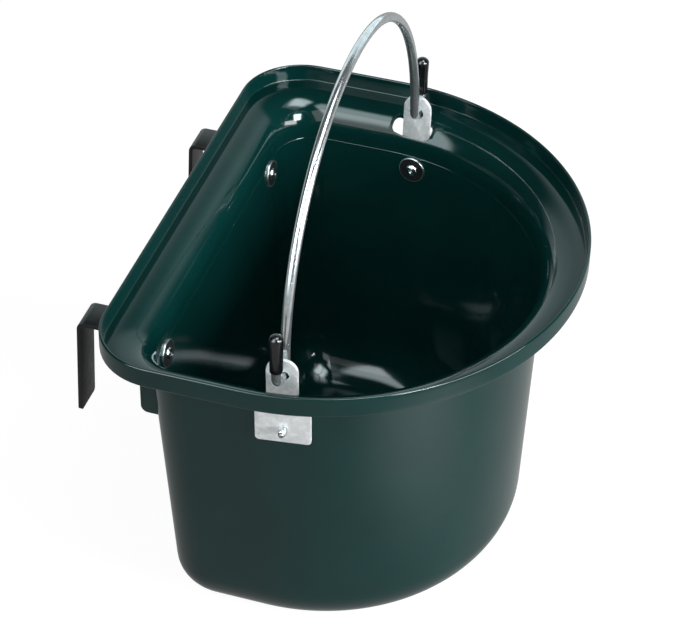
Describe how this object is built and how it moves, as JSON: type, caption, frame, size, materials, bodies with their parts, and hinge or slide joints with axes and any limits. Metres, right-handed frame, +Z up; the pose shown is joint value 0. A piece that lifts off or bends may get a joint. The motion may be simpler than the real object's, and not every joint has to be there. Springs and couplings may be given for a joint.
{
  "type": "hanging feed trough",
  "caption": "Half-round moulded feed tub with a raised lip and ledge round its rim, flat strap hooks on its straight back and a swinging wire bail held in riveted ears.",
  "frame": {"origin": "in the base plane, below the middle of the bail's pivot line and 3 mm in front of it", "axes": "+X along the straight back to the right-hand side, +Y towards the hooks, +Z up"},
  "size_m": [0.38, 0.335, 0.4215],
  "materials": {
    "moulded_plastic": "glossy dark green injection-moulded plastic",
    "galvanised_wire": "bright zinc-plated round wire",
    "galvanised_plate": "galvanised sheet steel with fine spangle",
    "rivet_aluminium": "bright drawn aluminium",
    "rivet_steel": "plain drawn steel, dull",
    "washer_black": "black coated steel washer",
    "coated_strap": "black powder coat, semi-gloss with a fine grain",
    "cap_vinyl": "black dipped vinyl, semi-gloss"
  },
  "bodies": {
    "trough": {"tub": "moulded_plastic", "ear_plate_left": "galvanised_plate", "ear_plate_right": "galvanised_plate", "ear_rivet_left": "rivet_aluminium", "ear_rivet_right": "rivet_aluminium", "ear_rivet_stem_left": "rivet_steel", "ear_rivet_stem_right": "rivet_steel", "ear_washer_left": "washer_black", "ear_washer_right": "washer_black", "hook_left": "coated_strap", "hook_right": "coated_strap", "hook_rivet_left": "rivet_aluminium", "hook_rivet_right": "rivet_aluminium", "hook_rivet_stem_left": "rivet_steel", "hook_rivet_stem_right": "rivet_steel", "hook_washer_left": "washer_black", "hook_washer_right": "washer_black"},
    "handle": {"bail": "galvanised_wire", "bail_cap_left": "cap_vinyl", "bail_cap_right": "cap_vinyl"}
  },
  "joints": [
    {"name": "bail_swing", "type": "hinge", "parent": "trough", "child": "handle", "pos_m": [0, 0.003, 0.26], "axis": [1, 0, 0], "range_deg": [-85, 76]}
  ]
}
